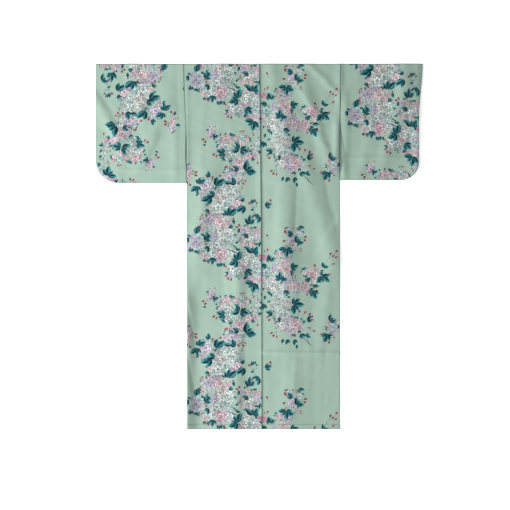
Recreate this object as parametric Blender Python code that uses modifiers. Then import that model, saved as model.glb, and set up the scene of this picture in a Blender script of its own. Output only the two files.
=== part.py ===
"""A cotton yukata laid out flat with its back upwards.

Two body lengths fold over at the shoulder and make the back and the fronts. Two sleeves are
flat bags with a rounded lower corner. Two front overlaps and the collar lie underneath.

X runs across the garment, with the wearer's left sleeve at -X. Y runs from the hem up to the
shoulder fold, and Z points up from the surface that the garment lies on. Sizes are in metres.
"Depth" is a distance down from the shoulder fold. "Out" is a distance from the centre back
seam towards a sleeve. "Side" is -1 on the wearer's left and 1 on the right.
"""

import math

import bmesh
import bpy

# Cloth
WALL = 0.001
SEAM_GAP = 0.0003
LAYER = WALL + SEAM_GAP

# Body lengths
LENGTH = 1.504
HALF_BACK = 0.315
SEAM_SHIFT = 0.0065
SEAM_LEAN = 0.0105
NECK_OUT = 0.088
FRONT_OUT = 0.062
ARMHOLE_DEPTH = 0.230
UNDERARM_DEPTH = 0.380

# Front overlaps and collar
OVERLAP_WIDTH = 0.150
COLLAR_NECK_WIDTH = 0.057
COLLAR_END_WIDTH = 0.075
COLLAR_END_DEPTH = 0.800
COLLAR_END_OUT = FRONT_OUT - OVERLAP_WIDTH + COLLAR_END_WIDTH

# Sleeves. Each narrows from reach_top to reach_low, both measured from the middle of the hem,
# and the open inner edge of its upper layer bows away from the body by slit.
WRIST_OPENING = 0.230
SLEEVES = {
    "left": {
        "side": -1,
        "reach_top": 0.690,
        "reach_low": 0.690,
        "depth": 0.490,
        "corner": 0.094,
        "slit": 0.006,
        "shoulder_flare": 0.012,
    },
    "right": {
        "side": 1,
        "reach_top": 0.657,
        "reach_low": 0.641,
        "depth": 0.478,
        "corner": 0.075,
        "slit": 0.007,
        "shoulder_flare": 0.004,
    },
}

# The wearer's right front lies on the left one, and the back lies on both. Each pair is where
# a layer starts to step up or down, and where it has.
RIGHT_FRONT_STEP = (0.115, 0.150)
BACK_STEP_LEFT = (-0.175, -0.135)
BACK_STEP_RIGHT = (0.175, 0.215)
LEFT_COLLAR_STEP_DEPTHS = (0.060, 0.190)

# Soft folds of the upper layer, each a ridge from one point to another.
FOLD_COLUMNS = ("x_start", "depth_start", "x_end", "depth_end", "spread", "height")
FOLDS = (
    # right half of the back
    (0.092, 0.330, 0.088, 0.800, 0.034, 0.0095),
    (0.178, 0.430, 0.262, 0.720, 0.030, 0.0075),
    (0.190, 0.150, 0.262, 0.370, 0.020, 0.0055),
    (0.108, 0.950, 0.102, 1.480, 0.040, 0.0040),
    (0.282, 0.850, 0.241, 1.100, 0.025, 0.0030),
    (0.040, 0.020, 0.060, 0.260, 0.020, 0.0030),
    # left half of the back
    (-0.249, 0.480, -0.262, 0.740, 0.025, 0.0055),
    (-0.105, 0.800, -0.113, 1.500, 0.022, 0.0055),
    (-0.171, 0.060, -0.204, 0.440, 0.026, 0.0035),
    (-0.318, 1.020, -0.318, 1.480, 0.022, 0.0125),
    (-0.210, 1.180, -0.195, 1.480, 0.028, 0.0030),
    # left sleeve
    (-0.684, 0.150, -0.616, 0.280, 0.018, 0.0045),
    (-0.406, 0.180, -0.480, 0.360, 0.022, 0.0045),
    (-0.368, 0.240, -0.362, 0.440, 0.018, 0.0030),
    (-0.583, 0.350, -0.600, 0.460, 0.020, 0.0030),
    (-0.540, 0.020, -0.500, 0.200, 0.020, 0.0025),
    # right sleeve
    (0.579, 0.110, 0.509, 0.360, 0.024, 0.0050),
    (0.640, 0.240, 0.632, 0.410, 0.016, 0.0040),
    (0.575, 0.000, 0.590, 0.200, 0.030, 0.0055),
    (0.338, 0.140, 0.345, 0.330, 0.012, 0.0030),
    (0.430, 0.330, 0.400, 0.460, 0.020, 0.0025),
)
# Past its ends a fold fades this many times more slowly than to its sides.
FOLD_FADE = 3

# Spacing of the points of a wall
ROW_STEP = 0.030
COLUMN_STEP = 0.026
COLLAR_STEP = 0.060
OVERLAP_STEP = 0.100
NECK_STEPS = 4
CORNER_STEPS = 6

PRINTED_COTTON = (0.42, 0.57, 0.48, 1.0)
COTTON_ROUGHNESS = 0.85

SHOULDER_Y = LENGTH / 2
# Brings the middle of the outline, from sleeve end to sleeve end, to the origin.
MIDDLE_X = (SLEEVES["left"]["reach_top"] - SLEEVES["right"]["reach_top"]) / 2


def smooth(value, low, high):
    """Goes softly from 0 at low to 1 at high."""
    t = min(max((value - low) / (high - low), 0.0), 1.0)
    return t * t * (3 - 2 * t)


def steps(start, end, step):
    """Evenly spaced values from start to end, about a step apart."""
    count = max(1, round(abs(end - start) / step))
    return [start + (end - start) * i / count for i in range(count + 1)]


def seam_x(depth):
    """The centre back seam, a little left of the middle, and more so at the neck."""
    return -SEAM_SHIFT - SEAM_LEAN * (1 - depth / LENGTH) ** 2


def side_x(sleeve, depth):
    """The body's side edge, a little wider at the shoulder."""
    flare = sleeve["shoulder_flare"] * (1 - smooth(depth, 0, UNDERARM_DEPTH))
    return sleeve["side"] * (HALF_BACK + flare)


def neckline_out(depth):
    """The line along which the collar is sewn on, from the neck down to the collar's end."""
    return NECK_OUT + (COLLAR_END_OUT - NECK_OUT) * depth / COLLAR_END_DEPTH


def neckline_depth(out):
    """The depth at which the neckline has come in to a distance out."""
    return COLLAR_END_DEPTH * (NECK_OUT - out) / (NECK_OUT - COLLAR_END_OUT)


def fold_height(x, depth):
    """How far the soft folds lift the upper layer."""
    total = 0.0
    for row in FOLDS:
        fold = dict(zip(FOLD_COLUMNS, row))
        run_x = fold["x_end"] - fold["x_start"]
        run_depth = fold["depth_end"] - fold["depth_start"]
        length = math.hypot(run_x, run_depth)
        from_x = x - fold["x_start"]
        from_depth = depth - fold["depth_start"]
        along = (from_x * run_x + from_depth * run_depth) / length
        across = (from_x * run_depth - from_depth * run_x) / length
        past_end = max(-along, along - length, 0.0) / FOLD_FADE
        distance = math.hypot(across, past_end)
        total += fold["height"] * math.exp(-0.5 * (distance / fold["spread"]) ** 2)
    return total


def front_z(side, x):
    """The middle of the front's wall: on the surface, or on the other front."""
    raised = 1 - smooth(x, *RIGHT_FRONT_STEP) if side > 0 else 0.0
    return WALL / 2 + LAYER * raised


def back_z(x, depth):
    """The middle of the back's wall, over one or two fronts and lifted by the folds."""
    raised = smooth(x, *BACK_STEP_LEFT) * (1 - smooth(x, *BACK_STEP_RIGHT))
    return WALL / 2 + LAYER * (1 + raised) + fold_height(x, depth)


def placed(x, depth, z):
    """A point of the part from its place on the garment."""
    return (x + MIDDLE_X, SHOULDER_Y - depth, z)


def cotton(name):
    """The printed cotton's overall colour."""
    made = bpy.data.materials.new(name)
    made.use_nodes = True
    shader = made.node_tree.nodes["Principled BSDF"]
    shader.inputs["Base Color"].default_value = PRINTED_COTTON
    shader.inputs["Roughness"].default_value = COTTON_ROUGHNESS
    shader.inputs["Metallic"].default_value = 0.0
    return made


class Sheet:
    """The middle surface of a piece of cloth, made of layers that meet at folds and seams."""

    def __init__(self):
        self.mesh = bmesh.new()

    def layer(self, rows):
        """Adds a layer from rows of points and returns its rows of vertices."""
        made = [[self.mesh.verts.new(point) for point in row] for row in rows]
        for first, second in zip(made, made[1:]):
            self.join(first, second)
        return made

    def join(self, first, second):
        """Adds the faces between two lines of vertices."""
        for i in range(len(first) - 1):
            self.mesh.faces.new((first[i], first[i + 1], second[i + 1], second[i]))

    def as_object(self, name, collection):
        """Gives the sheet its thickness and puts it in the collection."""
        bmesh.ops.recalc_face_normals(self.mesh, faces=self.mesh.faces[:])
        data = bpy.data.meshes.new(name)
        self.mesh.to_mesh(data)
        self.mesh.free()
        data.materials.append(cotton(name))
        made = bpy.data.objects.new(name, data)
        collection.objects.link(made)
        wall = made.modifiers.new("wall", "SOLIDIFY")
        wall.thickness = WALL
        wall.offset = 0
        wall.use_even_offset = True
        return made


def body_length(name, sleeve, collection):
    """One half of the back and the front of the same side, in one length of cloth."""
    side = sleeve["side"]
    above_seam = steps(0, UNDERARM_DEPTH, ROW_STEP)
    depths = above_seam + steps(UNDERARM_DEPTH, LENGTH, ROW_STEP)[1:]
    # Columns are shares of the way in from the side. The front reaches the neck at share 1 of
    # its own width, which is the share neck of the back's.
    edge_x = side_x(sleeve, 0)
    shoulder = abs(seam_x(0) + side * NECK_OUT - edge_x)
    half_back = abs(seam_x(0) - edge_x)
    neck = shoulder / half_back
    front_columns = steps(0, 1, COLUMN_STEP / shoulder)
    past_neck = steps(neck, 1, COLUMN_STEP / half_back)[1:]
    back_columns = [neck * share for share in front_columns] + past_neck

    def row(depth, inner_x, columns, height):
        outer_x = side_x(sleeve, depth) - side * WALL / 2
        places = [outer_x + share * (inner_x - outer_x) for share in columns]
        return [placed(x, max(depth, WALL / 2), height(x)) for x in places]

    def back_row(depth):
        inner_x = seam_x(depth) + side * SEAM_GAP / 2
        return row(depth, inner_x, back_columns, lambda x: back_z(x, depth))

    def front_row(depth):
        inner_x = seam_x(depth) + side * max(neckline_out(depth), FRONT_OUT)
        return row(depth, inner_x, front_columns, lambda x: front_z(side, x))

    sheet = Sheet()
    back = sheet.layer([back_row(depth) for depth in depths])
    front = sheet.layer([front_row(depth) for depth in depths])
    sheet.join(back[0][: len(front_columns)], front[0])
    first_sewn = len(above_seam) - 1
    back_edge = [line[0] for line in back[first_sewn:]]
    front_edge = [line[0] for line in front[first_sewn:]]
    sheet.join(back_edge, front_edge)
    return sheet.as_object(name, collection)


def sleeve_bag(name, sleeve, collection):
    """A sleeve: folded at the shoulder, sewn along the bottom and below the wrist opening."""
    side = sleeve["side"]
    corner = sleeve["corner"]
    corner_start = sleeve["depth"] - corner
    beside_wrist = steps(0, WRIST_OPENING, ROW_STEP)
    turns = [math.pi / 2 * i / CORNER_STEPS for i in range(1, CORNER_STEPS + 1)]
    depths = beside_wrist + steps(WRIST_OPENING, corner_start, ROW_STEP)[1:]
    depths += [corner_start + corner * math.sin(turn) for turn in turns]
    columns = steps(0, 1, COLUMN_STEP / (sleeve["reach_low"] - HALF_BACK))

    def outer_x(depth):
        narrowing = sleeve["reach_top"] - sleeve["reach_low"]
        reach = sleeve["reach_top"] - narrowing * smooth(depth, 0, WRIST_OPENING)
        into_corner = min(max(depth - corner_start, 0.0), corner)
        rounding = corner - math.sqrt(corner**2 - into_corner**2)
        return side * (reach - WALL / 2 - rounding)

    def slit(depth):
        below_armhole = max(depth - ARMHOLE_DEPTH, 0.0) / (sleeve["depth"] - ARMHOLE_DEPTH)
        return sleeve["slit"] * math.sin(math.pi * below_armhole)

    def row(depth, bow, height):
        start = side_x(sleeve, depth) + side * (SEAM_GAP + bow)
        end = outer_x(depth)
        inside = min(max(depth, WALL / 2), sleeve["depth"] - WALL / 2)
        places = [start + share * (end - start) for share in columns]
        return [placed(x, inside, height(x)) for x in places]

    def upper_row(depth):
        level = WALL / 2 + LAYER
        return row(depth, slit(depth), lambda x: level + fold_height(x, depth))

    def lower_row(depth):
        return row(depth, 0, lambda x: WALL / 2)

    sheet = Sheet()
    upper = sheet.layer([upper_row(depth) for depth in depths])
    lower = sheet.layer([lower_row(depth) for depth in depths])
    sheet.join(upper[0], lower[0])
    sheet.join(upper[-1], lower[-1])
    first_sewn = len(beside_wrist) - 1
    upper_edge = [line[-1] for line in upper[first_sewn:]]
    lower_edge = [line[-1] for line in lower[first_sewn:]]
    sheet.join(upper_edge, lower_edge)
    return sheet.as_object(name, collection)


def overlap(name, side, level, collection):
    """The strip sewn to a front's inner edge, cut on a slant along the neckline."""
    sewn_out = FRONT_OUT - SEAM_GAP
    free_out = FRONT_OUT - OVERLAP_WIDTH
    tip = neckline_depth(sewn_out - SEAM_GAP)
    sewn_edge = [(sewn_out, depth) for depth in steps(LENGTH, tip, OVERLAP_STEP)]
    slant = [
        (neckline_out(depth) + SEAM_GAP, depth)
        for depth in steps(tip, COLLAR_END_DEPTH + SEAM_GAP, OVERLAP_STEP)
    ]
    free_edge = [
        (free_out, depth)
        for depth in steps(COLLAR_END_DEPTH + SEAM_GAP, LENGTH, OVERLAP_STEP)
    ]
    curve = bpy.data.curves.new(name, "CURVE")
    curve.dimensions = "2D"
    curve.fill_mode = "BOTH"
    curve.extrude = WALL / 2
    line = curve.splines.new("POLY")
    outline = sewn_edge + slant[1:] + free_edge
    line.points.add(len(outline) - 1)
    for point, (out, depth) in zip(line.points, outline):
        point.co = (*placed(seam_x(depth) + side * out, depth, 0), 1)
    line.use_cyclic_u = True
    curve.materials.append(cotton(name))
    made = bpy.data.objects.new(name, curve)
    made.location.z = level
    collection.objects.link(made)
    return made


def collar_band(name, collection):
    """The collar: up one neckline, across the back of the neck and down the other.

    It is folded flat under the back at the neck, where its corners are mitred.
    """
    low = WALL / 2
    high = low + LAYER
    corner_depth = COLLAR_NECK_WIDTH

    def section(side, depth):
        widening = COLLAR_END_WIDTH - COLLAR_NECK_WIDTH
        width = COLLAR_NECK_WIDTH + widening * smooth(depth, corner_depth, COLLAR_END_DEPTH)
        step_down = smooth(depth, *LEFT_COLLAR_STEP_DEPTHS) if side < 0 else 0.0
        z = high + (low - high) * step_down
        outs = (neckline_out(depth) - SEAM_GAP, neckline_out(depth) - width)
        return [placed(seam_x(depth) + side * out, depth, z) for out in outs]

    def mitre(side):
        neck_edge = placed(seam_x(0) + side * (NECK_OUT - SEAM_GAP), LAYER, high)
        return [neck_edge, section(side, corner_depth)[1]]

    def between(first, second, share):
        return tuple(a + (b - a) * share for a, b in zip(first, second))

    depths = steps(COLLAR_END_DEPTH, corner_depth, COLLAR_STEP)[:-1]
    left = [section(-1, depth) for depth in depths]
    right = [section(1, depth) for depth in depths]
    left_mitre = mitre(-1)
    right_mitre = mitre(1)
    shares = [step / NECK_STEPS for step in range(NECK_STEPS + 1)]
    neck = [
        [between(start, end, share) for start, end in zip(left_mitre, right_mitre)]
        for share in shares
    ]
    sheet = Sheet()
    sheet.layer(left + neck + right[::-1])
    return sheet.as_object(name, collection)


def main():
    for thing in list(bpy.data.objects):
        bpy.data.objects.remove(thing)
    collection = bpy.data.collections.new("yukata")
    bpy.context.scene.collection.children.link(collection)
    for name, sleeve in SLEEVES.items():
        body_length(f"body_{name}", sleeve, collection)
        sleeve_bag(f"sleeve_{name}", sleeve, collection)
    overlap("overlap_left", -1, WALL / 2, collection)
    overlap("overlap_right", 1, WALL / 2 + LAYER, collection)
    collar_band("collar", collection)


main()
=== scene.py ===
"""A printed cotton yukata laid out flat with its back upwards, dressed on its solids.

X runs across the garment with the wearer's left sleeve at -X, Y runs from the hem up to the
shoulder fold, and Z points up. Sizes are in metres. In the tables and functions below, x is
measured from the middle of the hem and "depth" is a distance down from the shoulder fold. A side
is -1 on the wearer's left and 1 on the right.
"""

import math
import random

import bmesh
import bpy
import numpy as np
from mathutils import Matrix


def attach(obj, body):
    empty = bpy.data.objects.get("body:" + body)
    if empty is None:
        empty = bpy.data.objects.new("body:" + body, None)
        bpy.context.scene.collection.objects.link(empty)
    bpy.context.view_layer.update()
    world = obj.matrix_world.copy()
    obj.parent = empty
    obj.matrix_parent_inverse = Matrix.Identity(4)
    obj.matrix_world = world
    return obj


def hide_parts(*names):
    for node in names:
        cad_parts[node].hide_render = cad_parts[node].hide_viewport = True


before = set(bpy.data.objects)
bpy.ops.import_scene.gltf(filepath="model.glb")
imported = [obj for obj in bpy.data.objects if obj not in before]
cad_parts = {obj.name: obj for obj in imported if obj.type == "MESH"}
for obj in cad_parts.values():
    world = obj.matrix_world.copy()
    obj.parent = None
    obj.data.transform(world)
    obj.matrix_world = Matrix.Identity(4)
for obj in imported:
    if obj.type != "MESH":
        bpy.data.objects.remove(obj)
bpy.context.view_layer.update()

# Garment sizes
WALL = 0.001
SEAM_GAP = 0.0003
LAYER = WALL + SEAM_GAP
LENGTH = 1.504
HALF_BACK = 0.315
SEAM_SHIFT = 0.0065
SEAM_LEAN = 0.0105
NECK_OUT = 0.088
FRONT_OUT = 0.062
ARMHOLE_DEPTH = 0.230
UNDERARM_DEPTH = 0.380
OVERLAP_WIDTH = 0.150
COLLAR_NECK_WIDTH = 0.057
COLLAR_END_WIDTH = 0.075
COLLAR_END_DEPTH = 0.800
COLLAR_END_OUT = FRONT_OUT - OVERLAP_WIDTH + COLLAR_END_WIDTH
WRIST_OPENING = 0.230
# A sleeve's reach is from the body's middle to the sleeve's end, at the shoulder and low down.
# Its bolt_x and bolt_depth are the x and depth at which its place on the bolt is 0.
SLEEVES = {
    "left": {
        "side": -1,
        "reach_top": 0.690,
        "reach_low": 0.690,
        "depth": 0.490,
        "corner": 0.094,
        "shoulder_flare": 0.012,
        "slit_bow": 0.0050,
        "band_height": 0.0007,
        "bolt_x": -0.680,
        "bolt_depth": 0.696,
    },
    "right": {
        "side": 1,
        "reach_top": 0.657,
        "reach_low": 0.641,
        "depth": 0.478,
        "corner": 0.075,
        "shoulder_flare": 0.004,
        "slit_bow": 0.0165,
        "band_height": 0.0002,
        "bolt_x": 0.655,
        "bolt_depth": 0.146,
    },
}
RIGHT_FRONT_STEP = (0.115, 0.150)
BACK_STEP_LEFT = (-0.175, -0.135)
BACK_STEP_RIGHT = (0.175, 0.215)
LEFT_COLLAR_STEP_DEPTHS = (0.060, 0.190)
MITRE_STEPS = 13
CORNER_TURNS = 32
SHOULDER_Y = LENGTH / 2
MIDDLE_X = (SLEEVES["left"]["reach_top"] - SLEEVES["right"]["reach_top"]) / 2

# Cloth
CLOTH = 0.0006
REST = CLOTH / 2
MESH_STEP = 0.005
FINE_STEP = 0.0013
SEAM_STEP = 0.002
# How far the finer mesh reaches in from a fold, a hem, a seam and the ends of a piece
FINE_AT_FOLD = 0.0091
FINE_AT_HEM = 0.020
FINE_AT_SEAM = 0.036
FINE_AT_SLEEVE = 0.006
FINE_AT_OVERLAP = 0.016
EDGE_ROUND = 0.0025
EDGE_THICKNESS = 0.0009
EDGE_BULGE = 0.0004
SETTLE = 0.0006
RIPPLE_LENGTHS = (0.18, 0.11, 0.07, 0.045, 0.032)
RIPPLE_SLOPE = 0.0020
RIPPLE_SETS = 3
RIPPLE_SEED = 11

# Seams and hems
ALLOWANCE_WIDTH = 0.024
ALLOWANCE_HEIGHT = 0.0026
# The allowance lies flatter from about here down, by this share of its height
ALLOWANCE_EASE_DEPTHS = (0.85, 0.95)
ALLOWANCE_EASE_SHARE = 0.45
SEAM_LIP = 0.0015
SEAM_TROUGH = 0.0006
SEAM_TROUGH_WIDTH = 0.010
HEM = 0.0175
HEM_HEIGHT = 0.0019
HEM_EASE = 0.003
OVERLAP_HEM_STEP = (0.138, 0.140)
SLEEVE_BAND = 0.025
SLEEVE_BAND_EASE = 0.007
SLEEVE_TUCK = 0.003
SLIT_END = 0.465
# Where a front rises onto the part of a sleeve that is tucked under it
ONTO_TUCK = (HALF_BACK - 0.016, HALF_BACK - SLEEVE_TUCK - 0.001)
PAST_SLEEVE_DEPTHS = (0.49, 0.52)
CLEARANCE = 0.0001

# Stitches
STITCH_PITCH = 0.0045
STITCH_RING = 6
STITCH_SHAPE = ((-0.5, 0.35), (-0.36, 1.0), (0.36, 1.0), (0.5, 0.35))
HEM_STITCH = {"length": 0.0038, "thickness": 0.0007}
SLEEVE_STITCH = {"length": 0.0028, "thickness": 0.00042}
HEM_STITCH_RUN = (HALF_BACK - 0.004, 0.003)
HEM_STITCH_RISE = 0.0018
WRIST_HEM = 0.012
SLIT_HEM = 0.007
SLEEVE_STITCH_INSET = 0.006
STITCH_AHEAD = 0.001
HEM_POINTS = 200
SLEEVE_POINTS = 80

# Soft folds, each a ridge from one point to another, or a trough where its height is negative.
FOLD_COLUMNS = ("x_start", "depth_start", "x_end", "depth_end", "spread", "height")
BACK_FOLDS = (
    # the large folds of the right half
    (0.092, 0.330, 0.088, 0.800, 0.034, 0.0095),
    (0.178, 0.430, 0.262, 0.720, 0.030, 0.0075),
    (0.190, 0.150, 0.262, 0.370, 0.020, 0.0055),
    (0.188, 0.000, 0.290, 0.105, 0.011, 0.0036),
    (0.108, 0.950, 0.102, 1.480, 0.040, 0.0040),
    (0.282, 0.850, 0.241, 1.100, 0.025, 0.0030),
    (0.040, 0.020, 0.060, 0.260, 0.020, 0.0030),
    # the large folds of the left half
    (-0.249, 0.480, -0.262, 0.740, 0.025, 0.0055),
    (-0.105, 0.800, -0.113, 1.500, 0.022, 0.0055),
    (-0.171, 0.060, -0.204, 0.440, 0.026, 0.0035),
    (-0.318, 1.020, -0.318, 1.480, 0.022, 0.0125),
    (-0.210, 1.180, -0.195, 1.480, 0.028, 0.0030),
    (-0.313, 1.000, -0.286, 1.130, 0.006, -0.0018),
    (-0.312, 1.200, -0.284, 1.350, 0.007, -0.0020),
    # the right half's edge, which stands up beside the sleeve
    (0.322, 0.000, 0.321, 0.130, 0.015, 0.0040),
    (0.302, 0.275, 0.301, 0.400, 0.011, 0.0060),
    # the left half's edge, over the sleeve's
    (-0.314, 0.110, -0.313, 0.430, 0.008, 0.0020),
    # creases of the right half
    (0.140, 0.430, 0.128, 0.720, 0.007, -0.0010),
    (0.256, 0.480, 0.296, 0.650, 0.008, -0.0013),
    (0.238, 0.230, 0.292, 0.400, 0.009, -0.0011),
    (0.120, 0.060, 0.210, 0.190, 0.008, 0.0012),
    (0.150, 0.210, 0.250, 0.330, 0.009, 0.0012),
    (0.300, 0.660, 0.270, 0.700, 0.010, 0.0012),
    (0.256, 1.200, 0.250, 1.460, 0.005, -0.0011),
    (0.130, 1.230, 0.120, 1.420, 0.008, 0.0011),
    # creases of the left half
    (-0.058, 0.850, -0.075, 1.200, 0.007, -0.0010),
    (-0.150, 0.890, -0.140, 1.190, 0.009, 0.0012),
    (-0.240, 0.120, -0.255, 0.400, 0.010, 0.0009),
    (-0.070, 0.300, -0.090, 0.700, 0.012, 0.0010),
    # creases pressed in when the garment was put away folded
    (-0.310, 0.806, -0.020, 0.808, 0.0055, 0.0011),
    (0.010, 1.188, 0.312, 1.192, 0.0055, 0.0042),
    (-0.310, 1.335, -0.100, 1.330, 0.0055, 0.0016),
)
SLEEVE_FOLDS = (
    # left sleeve
    (-0.684, 0.150, -0.616, 0.280, 0.018, 0.0045),
    (-0.406, 0.180, -0.480, 0.360, 0.022, 0.0045),
    (-0.368, 0.240, -0.362, 0.440, 0.018, 0.0030),
    (-0.583, 0.350, -0.600, 0.460, 0.020, 0.0030),
    (-0.540, 0.020, -0.500, 0.200, 0.020, 0.0025),
    (-0.372, 0.235, -0.462, 0.379, 0.008, -0.0012),
    (-0.690, 0.090, -0.587, 0.255, 0.009, -0.0012),
    (-0.560, 0.437, -0.330, 0.437, 0.0055, 0.0014),
    # right sleeve
    (0.579, 0.110, 0.509, 0.360, 0.024, 0.0050),
    (0.640, 0.240, 0.632, 0.410, 0.016, 0.0040),
    (0.575, 0.000, 0.590, 0.200, 0.030, 0.0055),
    (0.338, 0.140, 0.345, 0.330, 0.012, 0.0030),
    (0.430, 0.330, 0.400, 0.460, 0.020, 0.0025),
    (0.317, 0.000, 0.317, 0.110, 0.009, 0.0042),
    (0.638, 0.000, 0.634, 0.150, 0.011, 0.0030),
    (0.590, 0.130, 0.596, 0.280, 0.009, -0.0013),
    (0.329, 0.392, 0.332, 0.440, 0.012, 0.0052),
    (0.350, 0.387, 0.600, 0.387, 0.0055, 0.0016),
)
UNDER_FOLDS = (
    # the fronts
    (-0.270, 0.250, -0.170, 0.880, 0.014, 0.0005),
    (-0.230, 1.040, -0.272, 1.400, 0.010, 0.0004),
    (-0.118, 0.930, -0.096, 1.290, 0.009, 0.0004),
    (0.248, 0.210, 0.176, 0.790, 0.013, 0.0005),
    (0.292, 0.900, 0.226, 1.340, 0.011, 0.0004),
    (0.130, 0.980, 0.142, 1.220, 0.008, 0.0003),
    (-0.310, 0.806, -0.080, 0.808, 0.0055, 0.0004),
    (0.080, 1.188, 0.312, 1.192, 0.0055, 0.0005),
    # the sleeves' lower layers
    (-0.410, 0.110, -0.560, 0.370, 0.013, 0.0004),
    (-0.640, 0.080, -0.600, 0.230, 0.009, 0.0003),
    (0.400, 0.120, 0.530, 0.400, 0.012, 0.0004),
    (0.610, 0.060, 0.570, 0.210, 0.010, 0.0003),
)
FOLD_FADE = 3

# The print. Its chart is read in centimetres from the centre back seam and the shoulder fold, and
# comes again every REPEAT along the cloth. Angles are in degrees: 0 points right, 90 to the hem.
REPEAT = 0.667
CHART_UNIT = 0.01
CHART_COLUMNS = {
    "masses": ("x", "depth", "half_width", "half_length", "tint"),
    "leaves": ("x", "depth", "angle", "leaves", "size"),
    "buds": ("x", "depth", "buds"),
    "twigs": ("x", "depth", "angle", "half_length"),
}
CHART_LENGTHS = ("x", "depth", "half_width", "half_length", "size")
LEFT_CHART = {
    "masses": (
        (-27.4, 6.6, 2.9, 3.5, "lilac"), (-17.1, 5.4, 5.4, 5.2, "white"),
        (-17.1, 11.7, 6.8, 3.6, "white"), (-23.7, 11.7, 2.2, 2.0, "white"),
        (-22.9, 1.0, 2.6, 1.4, "white"), (-6.4, 4.8, 4.2, 3.9, "pink"),
        (-6.0, 14.2, 3.0, 3.4, "white"), (-12.6, 17.9, 2.2, 2.2, "white"),
        (-9.5, 19.0, 2.0, 2.0, "white"), (-8.4, 16.7, 1.2, 1.2, "rose"),
        (-3.0, 18.0, 2.2, 4.5, "white"), (-5.5, 21.6, 2.0, 1.6, "pink"),
        (-2.0, 25.0, 1.0, 8.0, "white"), (-21.2, 28.6, 1.6, 2.0, "lilac"),
        (-15.9, 31.5, 3.0, 2.2, "pink"), (-15.4, 34.4, 2.4, 2.0, "pink"),
        (-14.0, 37.3, 2.2, 2.0, "lilac"), (-10.2, 41.0, 3.0, 3.0, "pink"),
        (-7.2, 43.2, 2.2, 2.0, "lilac"), (-8.6, 30.8, 2.4, 1.8, "pink"),
        (-6.6, 38.0, 1.8, 1.8, "pink"), (-3.4, 36.5, 1.2, 2.4, "white"),
        (-30.7, 45.5, 1.2, 3.0, "pink"), (-23.3, 50.0, 2.4, 2.8, "white"),
        (-24.9, 51.9, 2.0, 1.8, "white"), (-12.8, 46.0, 3.6, 2.4, "white"),
        (-14.6, 52.7, 5.0, 3.8, "white"), (-15.9, 57.3, 5.0, 3.6, "white"),
        (-19.6, 59.3, 2.6, 3.4, "white"), (-9.7, 54.0, 1.8, 1.6, "white"),
        (-10.5, 58.0, 1.8, 1.8, "pink"), (-17.5, 65.0, 4.0, 2.6, "pink"),
        (-22.9, 65.1, 1.8, 2.2, "lilac"), (-3.9, 58.5, 1.2, 1.2, "pink"),
        (-1.6, 12.6, 1.4, 1.2, "rose"), (-3.6, 16.2, 1.6, 1.6, "pink"),
        (-2.4, 4.0, 1.3, 3.2, "pink"),
    ),
    "leaves": (
        (-27.4, 0.4, 60, 3, 2.6), (-23.7, 6.2, -50, 3, 2.8), (-22.9, 8.2, 110, 2, 2.4),
        (-21.0, 13.0, 90, 3, 2.6), (-10.5, 14.4, 200, 5, 3.6), (-4.4, 11.4, -90, 3, 3.2),
        (-7.2, 18.5, 40, 3, 2.6), (-8.2, 22.0, -40, 1, 2.2), (-3.9, 23.5, 120, 4, 3.2),
        (-6.0, 3.9, 170, 2, 2.0), (-9.9, 1.0, 100, 1, 2.0), (-31.1, 4.5, 90, 1, 2.4),
        (-20.8, 30.2, -30, 2, 2.2), (-15.9, 36.7, 180, 4, 3.0), (-9.7, 35.0, 200, 3, 3.0),
        (-9.5, 35.6, 10, 3, 3.0), (-23.5, 33.6, 200, 1, 2.0), (-4.3, 38.3, 90, 1, 1.8),
        (-7.2, 44.5, -40, 3, 4.0), (-9.9, 43.5, 190, 2, 2.4), (-22.2, 46.8, -120, 2, 2.6),
        (-26.8, 49.4, -70, 3, 3.0), (-27.0, 50.3, 100, 3, 3.0), (-19.8, 50.3, -55, 2, 4.0),
        (-11.5, 49.9, -130, 2, 3.0), (-13.2, 49.2, 190, 1, 2.4), (-19.8, 53.8, 190, 2, 3.0),
        (-21.2, 54.8, 140, 2, 4.0), (-8.8, 57.0, -60, 1, 2.0), (-7.6, 58.5, 130, 2, 3.2),
        (-14.4, 62.6, -80, 3, 3.6), (-12.4, 63.9, 80, 1, 2.2), (-5.4, 66.1, -90, 3, 3.0),
        (-1.4, 62.7, 150, 3, 2.4), (-35.8, 58.0, 90, 1, 2.4),
    ),
    "buds": (
        (-30.1, 10.5, 1), (-23.3, 15.0, 2), (-16.3, 14.4, 1), (-15.4, 16.7, 1), (-14.6, 21.8, 3),
        (-9.3, 6.0, 1), (-6.0, 7.7, 1), (-3.5, 7.4, 1), (-14.6, 8.4, 1), (-1.0, 12.8, 1),
        (-3.1, 0.8, 1), (-13.8, 0.8, 1), (-10.9, 0.4, 1), (-24.5, 31.7, 2), (-20.0, 37.9, 2),
        (-11.5, 31.7, 2), (-8.0, 39.1, 2), (-2.3, 41.0, 1), (-4.7, 34.6, 2), (-15.2, 42.2, 1),
        (-27.4, 45.3, 2), (-30.1, 49.9, 1), (-17.9, 46.1, 1), (-7.6, 49.0, 2), (-10.1, 49.4, 1),
        (-4.7, 56.4, 3), (-22.9, 61.8, 2), (-18.1, 61.6, 1), (-25.1, 64.7, 2), (-3.5, 63.0, 2),
        (-9.9, 66.3, 1),
    ),
    "twigs": (
        (-11.9, 10.7, 10, 3.1), (-10.5, 2.9, 60, 1.2), (-17.1, 0.2, 100, 1.0),
        (-8.9, 33.8, 80, 1.4), (-18.3, 52.9, 50, 1.3),
    ),
}
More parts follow.
